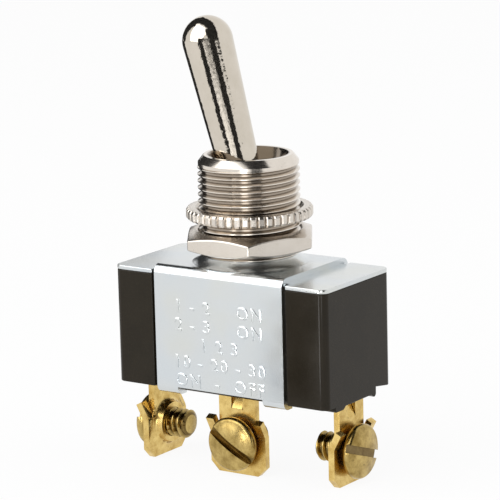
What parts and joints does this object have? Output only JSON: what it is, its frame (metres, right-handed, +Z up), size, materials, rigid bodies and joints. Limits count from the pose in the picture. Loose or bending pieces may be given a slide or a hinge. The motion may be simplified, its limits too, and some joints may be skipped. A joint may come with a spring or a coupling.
{
  "type": "panel toggle switch",
  "caption": "Panel toggle switch: bat lever in a threaded bushing with hex and knurled nuts, a steel frame clinched round a moulded case, and brass screw terminals.",
  "frame": {"origin": "on the bushing's axis, in the hex nut's top face, where the back of the panel seats", "axes": "+Z up the bushing to the lever's tip, X along the case with the lever leaning to -X at rest, -Y to the face in front of the centre terminal"},
  "size_m": [0.0312, 0.0148, 0.0532],
  "materials": {
    "nickel": "nickel plate, satin",
    "zinc": "zinc plate, pale",
    "steel": "bright steel",
    "phenolic": "moulded, dark brown",
    "fibre": "vulcanised fibre",
    "plunger_plastic": "nylon",
    "bronze": "spring bronze strip",
    "silver": "silver rivet",
    "terminal_brass": "stamped brass",
    "screw_brass": "turned brass"
  },
  "bodies": {
    "base": {"bushing": "nickel", "mounting_frame": "zinc", "cover_plate": "zinc", "insulator": "fibre", "case": "phenolic", "rocker_saddle": "bronze", "fixed_contact_left": "silver", "fixed_contact_right": "silver", "terminal_left": "terminal_brass", "terminal_centre": "terminal_brass", "terminal_right": "terminal_brass"},
    "lever": {"lever": "nickel", "lever_pin": "steel", "plunger_spring": "steel"},
    "plunger": {"plunger": "plunger_plastic"},
    "rocker": {"contact_rocker": "bronze", "moving_contact_left": "silver", "moving_contact_right": "silver"},
    "hex_nut": {"hex_nut": "nickel"},
    "knurled_nut": {"knurled_nut": "nickel"},
    "screw_left": {"screw_left": "screw_brass"},
    "screw_centre": {"screw_centre": "screw_brass"},
    "screw_right": {"screw_right": "screw_brass"}
  },
  "joints": [
    {"name": "lever_tilt", "type": "hinge", "parent": "base", "child": "lever", "pos_m": [0, 0, 0.00231], "axis": [0, 1, 0], "range_deg": [0, 30.8]},
    {"name": "rocker_tilt", "type": "hinge", "parent": "base", "child": "rocker", "pos_m": [0, 0, -0.01419], "axis": [0, 1, 0], "range_deg": [-17, 0]},
    {"name": "plunger_slide", "type": "slide", "parent": "lever", "child": "plunger", "axis": [-0.2656, 0, 0.9641], "range_m": [0, 0.0008], "stiffness_N_per_m": 800, "springref_m": -0.001, "deforming": ["plunger_spring"]},
    {"name": "hex_nut_turn", "type": "hinge", "parent": "base", "child": "hex_nut", "pos_m": [0, 0, -0.00125], "axis": [0, 0, 1], "continuous": true},
    {"name": "knurled_nut_turn", "type": "hinge", "parent": "base", "child": "knurled_nut", "pos_m": [0, 0, 0.0019], "axis": [0, 0, 1], "continuous": true},
    {"name": "screw_left_slide", "type": "slide", "parent": "base", "child": "screw_left", "axis": [-1, 0, 0], "range_m": [-0.0003, 0.0022]},
    {"name": "screw_centre_slide", "type": "slide", "parent": "base", "child": "screw_centre", "axis": [0, -1, 0], "range_m": [-0.0003, 0.0022]},
    {"name": "screw_right_slide", "type": "slide", "parent": "base", "child": "screw_right", "axis": [1, 0, 0], "range_m": [-0.0003, 0.0022]}
  ],
  "couplings": [
    {"joint": "rocker_tilt", "follows": "lever_tilt", "ratio": -0.5519}
  ]
}
